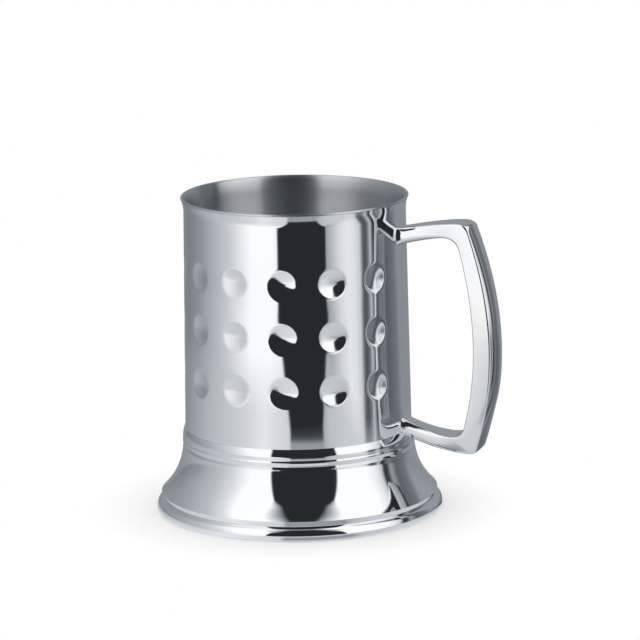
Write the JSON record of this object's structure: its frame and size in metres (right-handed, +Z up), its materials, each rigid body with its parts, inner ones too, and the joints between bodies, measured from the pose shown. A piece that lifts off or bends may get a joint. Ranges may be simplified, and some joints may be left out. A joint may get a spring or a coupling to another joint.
{
  "type": "drinking mug",
  "caption": "Polished steel tankard mug with a double wall, pressed dimples, a cast side handle and a flared foot, for cold or warm drinks.",
  "frame": {"origin": "on the mug's axis at the height of the table that it stands on; the closing plate lies just above it", "axes": "+Z up along the mug's axis, +X from the axis towards the handle, +Y to the left of the handle"},
  "size_m": [0.1386, 0.1118, 0.124],
  "materials": {
    "polished_steel": "mirror polished stainless steel sheet",
    "satin_steel": "satin stainless steel sheet",
    "cast_steel": "polished stainless steel casting"
  },
  "bodies": {
    "root": {"outer_shell": "polished_steel", "inner_liner": "satin_steel", "base_skirt": "polished_steel", "bottom_plate": "satin_steel", "handle": "cast_steel"}
  },
  "joints": []
}
